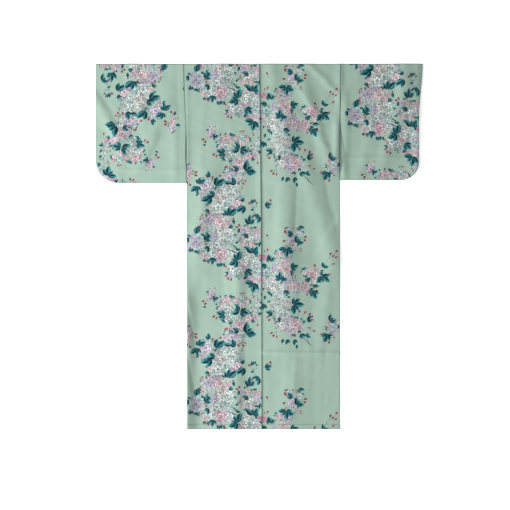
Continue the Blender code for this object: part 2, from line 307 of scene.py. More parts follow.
RIGHT_CHART = {
    "masses": (
        (8.0, 17.0, 3.9, 3.8, "pink"), (2.4, 22.0, 3.0, 4.6, "white"),
        (5.9, 26.6, 3.0, 2.6, "white"), (11.3, 24.6, 2.6, 2.8, "lilac"),
        (14.8, 24.9, 1.6, 1.6, "pink"), (6.9, 31.7, 3.8, 3.6, "white"),
        (7.6, 36.3, 3.0, 2.4, "white"), (10.4, 41.0, 4.4, 3.3, "pink"),
        (14.6, 41.2, 1.6, 1.8, "lilac"), (20.2, 19.2, 3.2, 1.8, "white"),
        (21.4, 22.0, 2.0, 1.8, "white"), (17.5, 25.5, 1.8, 1.8, "pink"),
        (28.8, 40.9, 1.8, 1.8, "pink"), (29.0, 42.8, 1.8, 1.6, "lilac"),
        (7.2, 11.5, 1.5, 1.3, "pink"), (9.7, 12.8, 1.5, 1.5, "white"),
        (13.9, 3.3, 1.4, 1.3, "white"), (11.7, 6.1, 1.8, 1.6, "lilac"),
        (12.4, 7.5, 1.2, 1.2, "white"), (13.1, 9.8, 1.0, 1.0, "white"),
        (11.9, 1.3, 1.4, 1.0, "white"), (0.4, 13.0, 1.2, 1.2, "rose"),
    ),
    "leaves": (
        (3.5, 14.8, -90, 2, 2.4), (1.4, 16.0, 150, 2, 2.4), (11.4, 17.5, -20, 3, 2.8),
        (7.0, 22.2, -90, 5, 2.8), (8.6, 26.5, 60, 2, 2.4), (0.8, 28.6, 100, 1, 2.2),
        (0.8, 32.3, 120, 3, 2.6), (4.0, 35.9, 170, 2, 2.4), (6.8, 37.5, 100, 1, 2.2),
        (12.3, 32.5, 0, 5, 3.6), (9.5, 9.3, 90, 5, 3.0), (24.9, 17.3, -60, 3, 2.2),
        (24.1, 20.6, 60, 4, 3.2), (19.1, 22.5, 180, 2, 2.2), (20.1, 24.9, 0, 1, 2.2),
        (20.1, 27.0, 60, 3, 3.2), (18.3, 39.6, -45, 2, 2.6), (8.3, 46.4, 110, 1, 2.0),
        (10.1, 46.6, 90, 2, 2.4), (12.8, 46.7, 70, 2, 2.6), (14.9, 44.9, 30, 2, 2.4),
        (13.8, 48.8, 90, 1, 2.0), (17.3, 45.1, 0, 2, 2.4), (27.4, 39.3, -40, 3, 2.4),
        (26.2, 44.3, 110, 3, 3.2), (12.2, 4.0, 205, 2, 2.6), (14.5, 0.4, 10, 1, 2.0),
        (13.8, 7.2, -50, 3, 2.8), (31.8, 17.8, -60, 1, 2.0), (1.0, 58.9, -30, 3, 2.2),
    ),
    "buds": (
        (1.9, 38.3, 2), (6.0, 41.6, 2), (4.1, 45.3, 3), (15.0, 35.0, 1), (17.3, 35.4, 1),
        (20.2, 37.3, 3), (21.2, 43.3, 1), (19.2, 42.0, 1), (27.4, 19.9, 1), (29.0, 15.6, 1),
        (26.6, 14.1, 1), (21.2, 16.2, 1), (17.3, 23.1, 1), (22.2, 26.8, 1), (18.1, 28.4, 1),
        (23.7, 44.7, 1), (26.4, 47.8, 2), (27.6, 37.3, 1), (17.2, 6.0, 3), (8.4, 6.2, 1),
        (8.9, 2.6, 1), (10.4, 1.1, 1), (1.5, 3.8, 1), (1.9, 9.7, 1), (30.3, 10.3, 1),
        (28.4, 11.8, 2), (30.1, 12.8, 1), (2.3, 56.4, 2),
    ),
    "twigs": (
        (18.5, 47.9, 38, 2.8), (9.1, 38.1, 135, 0.9),
    ),
}
LARGE_BLOSSOM = 0.0215
ROSE_BLOSSOM = 0.011
SMALL_BLOSSOMS = (0.013, 0.0095)
BLOSSOM_TRIES = 40
BLOSSOM_PITCH = 1.42
BLOSSOM_OVERLAP = 0.60
BLOSSOM_FIT = 1.05
BLOSSOM_INSET = 0.45
BLOSSOM_SHIFT = (-0.18, 0.18)
BLOSSOM_SHARES = (0.82, 1.28)
ROW_PITCH = 0.866
LEAST_HALF = 0.001
SMALL_OUT = (0.4, 1.0)
LEAF_SWELL = 1.48
FRINGE_PITCH = 0.021
FRINGE_BUDS = 0.22
FRINGE_INSIDE = 0.8
FRINGE_TURN = (-0.6, 0.6)
FRINGE_BUD_SIZES = (0.016, 0.023)
FRINGE_LEAF_SIZES = (0.015, 0.026)
# The number of leaves or buds is the whole part of a motif's kind, and this is the rest
KIND_REST = (0.1, 0.9)
TWIG_KIND = 0.5
LEAF_SPREAD = 0.74
BUD_SPREAD = 0.6
PRINT_SEED = 5
TINTS = {"white": (0.0, 0.40), "pink": (0.42, 0.62), "lilac": (0.64, 0.82), "rose": (0.84, 0.99)}
STRAY_TINT = 0.5
STRAY_TINTS = ("white", "white", "white", "pink", "lilac")
ROSE_SHARE = 0.04
BUD_SIZE = 0.029
BUD_REACH = 0.84
LAYER_MARGIN = 0.006
NO_MOTIF = (9.0, 9.0, 0.5)
OVERLAP_ON_BOLT = 0.10
COLLAR_ON_BOLT = 0.28
MOTIF_LAYERS = {"buds": 4, "tucked leaves": 3, "blossoms": 6, "twigs": 1, "leaves": 4}

# Colours
MINT = (0.345, 0.475, 0.394, 1.0)
MINT_DEEP = (0.315, 0.445, 0.369, 1.0)
# Painted shade: the colour the mint is darkened towards along every edge and seam of a layer
MINT_EDGE_SHADE = (0.035, 0.075, 0.055, 1.0)
STAMENS = (0.42, 0.24, 0.12, 1.0)
LEAF_DARK = (0.001, 0.018, 0.027, 1.0)
LEAF_RIB = (0.10, 0.32, 0.32, 1.0)
BUD_PALE = (0.58, 0.32, 0.34, 1.0)
BUD_CUP = (0.07, 0.03, 0.03, 1.0)
STALK = (0.10, 0.17, 0.14, 1.0)
# How strong and how wide the painted edge shade is
EDGE_SHADE_STRENGTH = 0.58
EDGE_SHADE_WIDTH = 0.0042
# How much narrower the painted edge shade is at a piece's sides than at its ends
SIDE_SHADE_NARROWING = 1.25
COTTON_FINISH = {"Roughness": 0.9, "Specular IOR Level": 0.12, "Sheen Weight": 0.03}
THREAD_FINISH = {"Roughness": 0.6, "Sheen Weight": 0.2}
# Noise across and along the bolt, and its detail
WARP = (900.0, 45.0, 3.0)
WEFT = (45.0, 900.0, 3.0)
CLOUDS = (9.0, 6.0, 2.0)
WEAVE_BUMP = {"Strength": 0.35, "Distance": 0.0004}
SLUB_TONE = 0.14
SLUB = (0.10, 0.13, 0.11, 1.0)
MINT_THREAD = ((0.36, 0.48, 0.40, 1.0), (0.42, 0.55, 0.46, 1.0))
# The hem's thread: green, made darker than the sleeve's thread as painted shade for the shadow
# along the stitched hem line
GREEN_THREAD_AND_PAINTED_SHADE = ((0.05, 0.10, 0.08, 1.0), (0.09, 0.16, 0.13, 1.0))
WHITE = (1.0, 1.0, 1.0, 1.0)

# The studio
FLOOR_FINISH = {
    "Base Color": (0.92, 0.92, 0.92, 1.0),
    "Roughness": 0.9,
    "Emission Color": WHITE,
    "Emission Strength": 0.42,
}
FLOOR_HALF = 5.0
FLOOR_Z = -0.0002
LIGHTS = (
    # name, place, size and power
    ("window light", (-4.1, -1.35, 1.85), 2.2, 385.0),
    ("overhead light", (-0.2, 0.5, 2.6), 3.0, 21.0),
)
AMBIENT = 0.30
CAMERA_PLACE = (-0.0174, -0.035, 6.0)
LENS = 102.8
SENSOR = 36


def smooth(value, low, high):
    """Goes softly from 0 at low to 1 at high."""
    t = np.clip((value - low) / (high - low), 0.0, 1.0)
    return t * t * (3 - 2 * t)


def length_along(line):
    """How far along a line each of its points is."""
    return np.concatenate(([0], np.cumsum(np.linalg.norm(np.diff(line, axis=0), axis=1))))


def steps(start, end, step):
    """Evenly spaced values from start to end, about a step apart."""
    count = max(1, round(abs(end - start) / step))
    return np.linspace(start, end, count + 1)


def spaced(length, first=0.0, last=0.0, fine=FINE_STEP):
    """Distances from 0 to length, closer together near the first and the last end."""
    parts = [steps(first, length - last, MESH_STEP)]
    if first:
        parts.insert(0, steps(0, first, fine)[:-1])
    if last:
        parts.append(steps(length - last, length, fine)[1:])
    return np.concatenate(parts)


def seam_x(depth):
    """The centre back seam, a little left of the middle, and more so at the neck."""
    return -SEAM_SHIFT - SEAM_LEAN * (1 - depth / LENGTH) ** 2


def side_x(sleeve, depth):
    """The body's side edge, a little wider at the shoulder."""
    flare = sleeve["shoulder_flare"] * (1 - smooth(depth, 0, UNDERARM_DEPTH))
    return sleeve["side"] * (HALF_BACK + flare)


def neckline_out(depth):
    """The line along which the collar is sewn on, from the neck down to the collar's end."""
    return NECK_OUT + (COLLAR_END_OUT - NECK_OUT) * depth / COLLAR_END_DEPTH


def neckline_depth(out):
    """The depth at which the neckline has come in to a distance out."""
    return COLLAR_END_DEPTH * (NECK_OUT - out) / (NECK_OUT - COLLAR_END_OUT)


def fold_height(folds, x, depth):
    """How far the folds and creases lift the cloth."""
    total = np.zeros(np.broadcast(x, depth).shape)
    for row in folds:
        fold = dict(zip(FOLD_COLUMNS, row))
        run_x = fold["x_end"] - fold["x_start"]
        run_depth = fold["depth_end"] - fold["depth_start"]
        length = math.hypot(run_x, run_depth)
        from_x = x - fold["x_start"]
        from_depth = depth - fold["depth_start"]
        along = (from_x * run_x + from_depth * run_depth) / length
        across = (from_x * run_depth - from_depth * run_x) / length
        past_end = np.maximum(np.maximum(-along, along - length), 0.0) / FOLD_FADE
        distance = np.hypot(across, past_end)
        total += fold["height"] * np.exp(-0.5 * (distance / fold["spread"]) ** 2)
    return total


def ripple(x, depth):
    """The slight unevenness of cloth that is smoothed out by hand."""
    draw = random.Random(RIPPLE_SEED)
    total = np.zeros(np.broadcast(x, depth).shape)
    for wave_length in RIPPLE_LENGTHS * RIPPLE_SETS:
        turn = draw.uniform(0, math.pi)
        phase = draw.uniform(0, 2 * math.pi)
        along = x * math.cos(turn) + depth * math.sin(turn)
        height = RIPPLE_SLOPE * wave_length
        total += height * np.sin(2 * math.pi * along / wave_length + phase)
    return total


def resting(height):
    """Keeps cloth from sinking into what it lies on."""
    return (height + np.sqrt(height**2 + SETTLE**2)) / 2


def rounded(distance):
    """The quarter turn of a folded edge: 0 at the edge, 1 from EDGE_ROUND inwards."""
    inward = 1 - np.clip(distance / EDGE_ROUND, 0, 1)
    return np.sqrt(1 - inward**2)


def front_z(side, x, depth):
    """The middle of a front's cloth: on the surface, or on the other front."""
    raised = 1 - smooth(x, *RIGHT_FRONT_STEP) if side > 0 else 0.0 * x
    on_sleeve = smooth(np.abs(x), *ONTO_TUCK)
    beside_sleeve = 1 - smooth(depth, *PAST_SLEEVE_DEPTHS)
    return REST + LAYER * raised + (CLOTH + CLEARANCE) * on_sleeve * beside_sleeve


def hem_rise(depth):
    """The doubled cloth of the hem at the lower edge."""
    return HEM_HEIGHT * smooth(depth, LENGTH - HEM - HEM_EASE, LENGTH - HEM)


def back_z(sleeve, x, depth):
    """The middle of the back's cloth, over the fronts, with its folds, seam and edges."""
    side = sleeve["side"]
    raised = smooth(x, *BACK_STEP_LEFT) * (1 - smooth(x, *BACK_STEP_RIGHT))
    level = WALL / 2 + LAYER * (1 + raised) + hem_rise(depth)
    from_seam = np.abs(x - seam_x(depth))
    lift = resting(fold_height(BACK_FOLDS, x, depth) + ripple(x, depth))
    if side < 0:
        rise = np.clip(1 - from_seam / ALLOWANCE_WIDTH, 0, 1)
        flatter = ALLOWANCE_EASE_SHARE * smooth(depth, *ALLOWANCE_EASE_DEPTHS)
        lift += ALLOWANCE_HEIGHT * (1 - flatter) * rise**1.3
    else:
        trough = np.exp(-0.5 * ((from_seam - SEAM_TROUGH_WIDTH) / SEAM_TROUGH_WIDTH) ** 2)
        lift -= SEAM_TROUGH * trough
    lower = front_z(side, x, depth) + EDGE_THICKNESS
    edge = np.minimum(np.abs(x - side_x(sleeve, depth)), depth)
    return lower + (level + lift - lower) * rounded(edge)


class Cloth:
    """The middle surface of a piece. Each corner of its faces keeps its place on the bolt, and
    its distance from the edge of its layer, which sets the painted edge shade."""

    def __init__(self):
        self.points = np.zeros((0, 3))
        self.faces = []
        self.places = []

    def add(self, points):
        """Adds points and returns their numbers."""
        first = len(self.points)
        self.points = np.concatenate((self.points, points))
        return np.arange(first, len(self.points))

    def cover(self, numbers, places):
        """Adds the faces of a grid of point numbers."""
        for grid, kept in ((numbers, self.faces), (places, self.places)):
            corners = (grid[:-1, :-1], grid[:-1, 1:], grid[1:, 1:], grid[1:, :-1])
            kept.append(np.stack(corners, 2).reshape(-1, 4, *grid.shape[2:]))

    def layer(self, x, depth, z, bolt_x, bolt_depth):
        """Adds a layer from rows of places, and returns its point numbers and bolt places."""
        x, depth, z, bolt_x, bolt_depth = np.broadcast_arrays(x, depth, z, bolt_x, bolt_depth)
        points = np.stack((x + MIDDLE_X, SHOULDER_Y - depth, z), -1)
        numbers = self.add(points.reshape(-1, 3)).reshape(x.shape)
        from_sides = np.minimum(abs(x - x[:, :1]), abs(x - x[:, -1:]))
        from_ends = np.minimum(abs(depth - depth[:1]), abs(depth - depth[-1:]))
        # Distance from the layer's edge, taken narrower at the sides, which sets the painted edge
        # shade
        from_edge = np.minimum(SIDE_SHADE_NARROWING * from_sides, from_ends)
        places = np.stack((bolt_x, bolt_depth, from_edge), -1)
        self.cover(numbers, places)
        return numbers, places

    def edge(self, first, second, places):
        """Joins two lines of points by a folded or sewn edge that stands out a little."""
        middle = (self.points[first] + self.points[second]) / 2
        run = np.gradient(middle[:, :2], axis=0)
        out = np.stack((run[:, 1], -run[:, 0]), -1)
        out /= np.linalg.norm(out, axis=1, keepdims=True)
        centre = self.points[:, :2].mean(axis=0)
        if np.sum(out * (middle[:, :2] - centre)) < 0:
            out = -out
        middle[:, :2] += EDGE_BULGE * out
        numbers = np.stack((first, self.add(middle), second))
        self.cover(numbers, np.stack((places, places, places)))

    def as_piece(self, name, layers, thickness):
        """Makes the piece, with its print in layers, its cotton and its thickness."""
        mesh = bpy.data.meshes.new(name)
        faces = np.concatenate(self.faces)
        places = np.concatenate(self.places)
        mesh.from_pydata(self.points.tolist(), [], faces.tolist())
        keep_on_corners(mesh, "bolt", places)
        for layer_name, motifs in layers.items():
            keep_on_corners(mesh, layer_name, motif_places(motifs, places[..., :2]))
        turned = bmesh.new()
        turned.from_mesh(mesh)
        bmesh.ops.recalc_face_normals(turned, faces=turned.faces[:])
        turned.to_mesh(mesh)
        turned.free()
        mesh.shade_smooth()
        mesh.materials.append(bpy.data.materials["printed cotton"])
        piece = in_scene(name, mesh)
        wall = piece.modifiers.new("thickness", "SOLIDIFY")
        wall.thickness = thickness
        wall.offset = 0
        return piece


def in_scene(name, data):
    """Puts a new object into the scene."""
    made = bpy.data.objects.new(name, data)
    bpy.context.scene.collection.objects.link(made)
    return made


def keep_on_corners(mesh, name, values):
    """Keeps a vector for each corner of each face."""
    kept = mesh.attributes.new(name, "FLOAT_VECTOR", "CORNER")
    kept.data.foreach_set("vector", values.ravel())


def motif_places(motifs, places):
    """For each corner, its place in the motif that covers its face."""
    centres = places.mean(axis=1)
    reach = np.abs(places - centres[:, None]).sum(axis=2).max()
    values = np.empty((*places.shape[:2], 3))
    values[:] = NO_MOTIF
    nearest = np.full(len(places), 1.0)
    first = math.floor(centres[:, 1].min() / REPEAT) - 1
    last = math.ceil(centres[:, 1].max() / REPEAT) + 1
    for motif in motifs:
        for repeat in range(first, last + 1):
            middle = np.array((motif["x"], motif["depth"] + repeat * REPEAT))
            past = np.hypot(*(centres - middle).T) - motif["size"]
            taken = np.nonzero((past < reach) & (past < nearest))[0]
            nearest[taken] = past[taken]
            offset = (places[taken] - middle) / motif["size"]
            cos, sin = math.cos(motif["angle"]), math.sin(motif["angle"])
            values[taken, :, 0] = offset[..., 0] * cos + offset[..., 1] * sin
            values[taken, :, 1] = offset[..., 1] * cos - offset[..., 0] * sin
            values[taken, :, 2] = motif["kind"]
    return values


def apart(first, second):
    """The distance on the bolt between two motifs, whichever repeat they are in."""
    along = abs(first["depth"] - second["depth"]) % REPEAT
    return math.hypot(first["x"] - second["x"], min(along, REPEAT - along))


def motif(x, depth, size, angle, kind):
    """One motif of the print, in metres and radians."""
    return {"x": x, "depth": depth, "size": size, "angle": angle, "kind": kind}


def charted(chart, kind):
    """A chart's rows of one kind, by the names of their columns and in metres."""
    rows = [dict(zip(CHART_COLUMNS[kind], row)) for row in chart[kind]]
    for row in rows:
        for name in CHART_LENGTHS:
            if name in row:
                row[name] *= CHART_UNIT
    return rows


def new_blossom(x, depth, size, tint, draw):
    """A blossom turned at random, now and then of another tint than its mass."""
    if draw.random() < STRAY_TINT and tint != "rose":
        tint = draw.choice(STRAY_TINTS)
    if size <= SMALL_BLOSSOMS[0] and draw.random() < ROSE_SHARE:
        tint = "rose"
    angle = draw.uniform(0, 2 * math.pi)
    return motif(x, depth, size, angle, draw.uniform(*TINTS[tint]))


def blossoms_of(masses, draw):
    """Fills each mass of the chart with large blossoms, then smaller ones between them."""
    made = []

    def add(mass, right, below, size):
        blossom = new_blossom(mass["x"] + right, mass["depth"] + below, size, mass["tint"], draw)
        if all(apart(blossom, old) > BLOSSOM_OVERLAP * (size + old["size"]) for old in made):
            made.append(blossom)

    for mass in masses:
        half_sizes = mass["half_width"], mass["half_length"]
        size = min(LARGE_BLOSSOM, BLOSSOM_FIT * min(half_sizes))
        if mass["tint"] == "rose":
            size = ROSE_BLOSSOM
        across, down = [max(half - BLOSSOM_INSET * size, LEAST_HALF) for half in half_sizes]
        pitch = BLOSSOM_PITCH * size
        lean = draw.uniform(0, math.pi / 3)
        reach = math.ceil(max(half_sizes) / pitch) + 1
        for i in range(-reach, reach + 1):
            for j in range(-reach, reach + 1):
                u = pitch * (i + j / 2) + draw.uniform(*BLOSSOM_SHIFT) * size
                v = pitch * j * ROW_PITCH + draw.uniform(*BLOSSOM_SHIFT) * size
                right = u * math.cos(lean) - v * math.sin(lean)
                below = u * math.sin(lean) + v * math.cos(lean)
                if (right / across) ** 2 + (below / down) ** 2 < 1.0 or i == j == 0:
                    add(mass, right, below, size * draw.uniform(*BLOSSOM_SHARES))
    draw.shuffle(made)
    for size in SMALL_BLOSSOMS:
        for mass in masses:
            for _ in range(BLOSSOM_TRIES):
                turn = draw.uniform(0, 2 * math.pi)
                out = draw.uniform(*SMALL_OUT)
                right = out * math.cos(turn) * mass["half_width"]
                below = out * math.sin(turn) * mass["half_length"]
                add(mass, right, below, size)
    return made[::-1]


def signed_gap(depth, from_depth):
    """How far one depth on the bolt is past another, in the nearest repeat."""
    return (depth - from_depth + REPEAT / 2) % REPEAT - REPEAT / 2


def fringe_of(masses, draw):
    """Small leaves and buds that peek out round the masses of blossoms."""

    def inside(x, depth, mass):
        across = (x - mass["x"]) / mass["half_width"]
        along = signed_gap(depth, mass["depth"]) / mass["half_length"]
        return across**2 + along**2 < FRINGE_INSIDE

    buds = []
    leaves = []
    for mass in masses:
        half_width, half_length = mass["half_width"], mass["half_length"]
        round_it = 2 * math.pi * math.hypot(half_width, half_length) / math.sqrt(2)
        for _ in range(round(round_it / FRINGE_PITCH)):
            turn = draw.uniform(0, 2 * math.pi)
            x = mass["x"] + half_width * math.cos(turn)
            depth = mass["depth"] + half_length * math.sin(turn)
            angle = turn + draw.uniform(*FRINGE_TURN)
            chance = draw.random()
            rest = draw.uniform(*KIND_REST)
            if any(inside(x, depth, other) for other in masses):
                continue
            if chance < FRINGE_BUDS:
                size = draw.uniform(*FRINGE_BUD_SIZES)
                buds.append(motif(x, depth, size, angle, draw.choice((1, 1, 2, 3)) + rest))
            else:
                size = draw.uniform(*FRINGE_LEAF_SIZES)
                leaves.append(motif(x, depth, size, angle, draw.choice((1, 2, 3)) + rest))
    return buds, leaves


def leaves_of(fans, draw):
    """The leaf fans of the chart."""
    made = []
    for fan in fans:
        angle = math.radians(fan["angle"])
        kind = fan["leaves"] + draw.uniform(*KIND_REST)
        made.append(motif(fan["x"], fan["depth"], fan["size"] * LEAF_SWELL, angle, kind))
    return made


def buds_of(groups, blossoms, draw):
    """The buds of the chart. They point away from the nearest blossom."""
    made = []
    for group in groups:
        kind = group["buds"] + draw.uniform(*KIND_REST)
        tip = motif(group["x"], group["depth"], BUD_SIZE, 0, kind)
        nearest = min(blossoms, key=lambda blossom: apart(tip, blossom))
        along = signed_gap(tip["depth"], nearest["depth"])
        tip["angle"] = math.atan2(along, tip["x"] - nearest["x"])
        tip["x"] -= BUD_REACH * BUD_SIZE * math.cos(tip["angle"])
        tip["depth"] -= BUD_REACH * BUD_SIZE * math.sin(tip["angle"])
        made.append(tip)
    return made


def twigs_of(twigs):
    """The bare twigs of the chart."""
    made = []
    for twig in twigs:
        angle = math.radians(twig["angle"])
        made.append(motif(twig["x"], twig["depth"], twig["half_length"], angle, TWIG_KIND))
    return made


def room(new, layer):
    """The smallest gap on the bolt between a motif and those of a layer."""
    return min((apart(new, old) - new["size"] - old["size"] for old in layer), default=1.0)


def in_layers(chart):
    """Shares a chart's motifs out into layers in which none overlaps another."""
    draw = random.Random(PRINT_SEED)
    masses = charted(chart, "masses")
    blossoms = blossoms_of(masses, draw)
    fringe_buds, fringe_leaves = fringe_of(masses, draw)
    motifs = {
        "twigs": twigs_of(charted(chart, "twigs")),
        "buds": buds_of(charted(chart, "buds"), blossoms, draw) + fringe_buds,
        "tucked leaves": fringe_leaves,
        "blossoms": blossoms,
        "leaves": leaves_of(charted(chart, "leaves"), draw),
    }
    layers = {}
    for kind, count in MOTIF_LAYERS.items():
        shared = [[] for _ in range(count)]
        for new in motifs[kind]:
            gaps = [room(new, layer) for layer in shared]
            free = [i for i, gap in enumerate(gaps) if gap > LAYER_MARGIN]
            best = free[0] if free else gaps.index(max(gaps))
            shared[best].append(new)
        for number, layer in enumerate(shared):
            layers[f"{kind} {number + 1}"] = layer
    return layers


def operation(name):
    """A method that puts a value through one operation of the Math node."""
    return lambda value, *others: value.maths(name, *others)


class Value:
    """A shader socket that can be used in sums."""

    def __init__(self, nodes, socket):
        self.nodes = nodes
        self.socket = socket

    def maths(self, operation, *others):
        sockets = dict(enumerate((self, *others)))
        return self.nodes.value("ShaderNodeMath", {"operation": operation}, sockets)

    def __rsub__(self, other):
        return self.nodes.value("ShaderNodeMath", {"operation": "SUBTRACT"}, {0: other, 1: self})

    def mask(self, sharpness=1.0):
        """0 where the value is below 0, and 1 where it is above 1 / sharpness."""
        return self.nodes.value("ShaderNodeClamp", {}, {0: self * sharpness})

    __add__ = __radd__ = operation("ADD")
    __mul__ = __rmul__ = operation("MULTIPLY")
    __sub__ = operation("SUBTRACT")
    __truediv__ = operation("DIVIDE")
    __pow__ = operation("POWER")
    __abs__ = operation("ABSOLUTE")
    root = operation("SQRT")
    sine = operation("SINE")
    cosine = operation("COSINE")
    floor = operation("FLOOR")
    fraction = operation("FRACT")
    larger = operation("MAXIMUM")
    smaller = operation("MINIMUM")
    remainder = operation("FLOORED_MODULO")
    angle_from = operation("ARCTAN2")


class Nodes:
    """Adds nodes to a material or a node group."""

    def __init__(self, tree):
        self.tree = tree

    def node(self, kind, settings=None, sockets=None):
        """Adds a node, makes its settings, then fills in its sockets."""
        made = self.tree.nodes.new(kind)
        for name, value in (settings or {}).items():
            if name == "stops":
                self.stops(made.color_ramp, value)
            else:
                setattr(made, name, value)
        for name, value in (sockets or {}).items():
            if isinstance(value, Value):
                self.tree.links.new(value.socket, made.inputs[name])
            else:
                made.inputs[name].default_value = value
        return made

    def value(self, kind, settings=None, sockets=None, output=0):
        """Adds a node and returns one of its outputs."""
        return Value(self, self.node(kind, settings, sockets).outputs[output])

    def stops(self, ramp, stops):
        """Sets a ramp's colours from rows of a place, red, green and blue."""
        while len(ramp.elements) < len(stops):
            ramp.elements.new(1.0)
        for element, (place, *colour) in zip(ramp.elements, stops):
            element.position = place
            element.color = (*colour, 1.0)

    def ramp(self, place, *stops):
        return self.value("ShaderNodeValToRGB", {"stops": stops}, {"Fac": place})

    def mix(self, share, first, second):
        """A colour between two colours."""
        settings = {"data_type": "RGBA"}
        return self.value("ShaderNodeMix", settings, {0: share, 6: first, 7: second}, 2)

    def parts(self, vector):
        """The three parts of a vector."""
        split = self.node("ShaderNodeSeparateXYZ", {}, {0: vector})
        return [Value(self, output) for output in split.outputs]

    def on_corners(self, name):
        """A vector that the piece keeps at the corners of its faces."""
        return self.value("ShaderNodeAttribute", {"attribute_name": name}, {}, "Vector")


def paint_blossom(nodes, place):
    """A double cherry blossom of radius 1. Its kind gives its tint."""
    u, v, kind = nodes.parts(place)
    out = (u * u + v * v).root()
    turn = v.angle_from(u)
    outer_turn = turn * 4 + kind * 6
    inner_turn = turn * 2.5 + kind * 11
    outer_wave = abs(outer_turn.cosine())
    inner_wave = abs(inner_turn.cosine())
    outer_edge = outer_wave.root() * 0.22 + 0.78
    inner_edge = inner_wave.root() * 0.16 + 0.44
    inner = (inner_edge - out).mask(24)
    outer_fade = ((out - inner_edge) / (outer_edge - inner_edge)).mask()
    inner_fade = (out / inner_edge).mask()
    fade = inner * inner_fade + (1 - inner) * outer_fade
    outer_petal = (outer_turn / math.pi + 0.5).floor().remainder(8)
    inner_petal = (inner_turn / math.pi + 0.5).floor().remainder(5)
    chance = (outer_petal * 0.37 + inner * inner_petal * 0.61 + kind * 7.7).fraction()
    shadow = nodes.ramp(
        kind,
        (0.0, 0.07, 0.18, 0.16),
        (0.40, 0.12, 0.17, 0.14),
        (0.42, 0.23, 0.14, 0.16),
        (0.62, 0.21, 0.12, 0.15),
        (0.64, 0.09, 0.14, 0.20),
        (0.82, 0.13, 0.12, 0.20),
        (0.84, 0.28, 0.03, 0.08),
    )
    pale = nodes.ramp(
        kind,
        (0.0, 0.79, 0.91, 0.90),
        (0.40, 0.85, 0.91, 0.88),
        (0.42, 0.86, 0.84, 0.86),
        (0.62, 0.84, 0.80, 0.85),
        (0.64, 0.76, 0.82, 0.90),
        (0.82, 0.81, 0.79, 0.89),
        (0.84, 0.80, 0.52, 0.60),
    )
    streaks = (turn * 26).cosine() * 0.12 + 0.88
    whole = (kind * 17.3).fraction() * 0.40 + 0.65
    light = (fade ** 0.6 * streaks * (1.80 - chance * 1.45)).mask() * whole
    colour = nodes.mix(light, shadow, pale)
    rim = (1 - abs(outer_edge - 0.06 - out) * 10).mask()
    inner_rim = (1 - abs(inner_edge - out) * 11).mask()
    outer_gap = (1 - outer_wave * out * 4.6).mask() * (1 - inner)
    inner_gap = (1 - inner_wave * out * 4.2).mask() * inner
    line = rim.larger(inner_rim).larger(outer_gap.larger(inner_gap))
    line_colour = nodes.ramp(
        kind,
        (0.0, 0.08, 0.17, 0.16),
        (0.30, 0.17, 0.15, 0.14),
        (0.62, 0.31, 0.09, 0.13),
        (0.82, 0.13, 0.11, 0.19),
    )
    colour = nodes.mix(line * 0.93, colour, line_colour)
    heart_colour = nodes.ramp(
        (kind * 9.1).fraction(),
        (0.0, 0.16, 0.32, 0.33),
        (0.35, 0.20, 0.22, 0.30),
        (0.55, 0.50, 0.30, 0.20),
        (0.85, 0.48, 0.12, 0.20),
    )
    colour = nodes.mix((0.17 - out).mask(12) * 0.85, colour, heart_colour)
    beside = abs((turn * 4.5).sine()) * out * 0.22
    stamens = (1 - (abs(out - 0.28) + beside) * 22).mask()
    colour = nodes.mix(stamens * 0.9, colour, STAMENS)
    return (outer_edge - out).mask(14), colour


def fan(nodes, place, spacing):
    """Places along and beside the nearest of a fan's spokes, whose number is in its kind."""
    u, v, kind = nodes.parts(place)
    out = (u * u + v * v).root()
    turn = v.angle_from(u)
    count = kind.floor()
    half = count * 0.5 - 0.5
    spoke = (turn / spacing + half + 0.5).floor().larger(0).smaller(count - 1)
    local = turn - (spoke - half) * spacing
    chance = (spoke * 0.37 + kind * 3.1).fraction()
    return out * local.cosine(), out * local.sine(), chance


def paint_leaves(nodes, place):
    """A fan of up to five pointed leaves."""
    along, side, chance = fan(nodes, place, LEAF_SPREAD)
    length = chance * 0.46 + 0.54
    along = (along / length).larger(0.0)
    side = side / length
    swell = ((along.mask() ** 0.8) * math.pi).sine()
    teeth = abs((along * 34).sine()) * 0.03
    width = swell * 0.28 - teeth * swell
    colour = nodes.ramp(
        along,
        (0.0, 0.0005, 0.020, 0.028),
        (0.30, 0.0005, 0.060, 0.078),
        (0.60, 0.0005, 0.130, 0.150),
        (0.85, 0.030, 0.330, 0.350),
        (1.0, 0.200, 0.530, 0.500),
    )
    bright = nodes.ramp(
        chance,
        (0.0, 0.060, 0.340, 0.350),
        (0.6, 0.004, 0.160, 0.240),
        (1.0, 0.200, 0.500, 0.480),
    )
    one_half = (side * 30 + 0.5).mask()
    near_rib = (1 - abs(side - 0.09) * 14).mask() * swell
    colour = nodes.mix(near_rib * 0.7, colour, bright)
    dark_half = (1 - one_half) * (1 - (along - 0.7).mask(3))
    colour = nodes.mix(dark_half * 0.9, colour, LEAF_DARK)
    rib = (1 - abs(side) * 55).mask() * (0.85 - along).mask(6)
    colour = nodes.mix(rib * 0.5, colour, LEAF_RIB)
    return (width - abs(side)).mask(26) * along.mask(12), colour


def paint_buds(nodes, place):
    """A fan of stalks with a red bud on each."""
    along, side, chance = fan(nodes, place, BUD_SPREAD)
    stalk = (0.035 - abs(side)).mask(50) * along.mask(20) * (0.74 - along).mask(30)
    across_bud = side * 5.6
    along_bud = (along - 0.80) * 4.6
    bud = (1 - (across_bud * across_bud + along_bud * along_bud).root()).mask(5)
    across_cup = side * 12
    along_cup = (along - 0.70) * 13
    cup = (1 - (across_cup * across_cup + along_cup * along_cup).root()).mask(5)
    red = nodes.ramp(
        chance,
        (0.0, 0.20, 0.010, 0.025),
        (0.5, 0.30, 0.030, 0.060),
        (0.8, 0.42, 0.120, 0.190),
    )
    red = nodes.mix((across_bud * 0.7 + 0.2).mask() * 0.4, red, BUD_PALE)
    colour = nodes.mix(bud, STALK, red)
    colour = nodes.mix(cup, colour, BUD_CUP)
    return (stalk * 0.8).larger(bud).larger(cup), colour


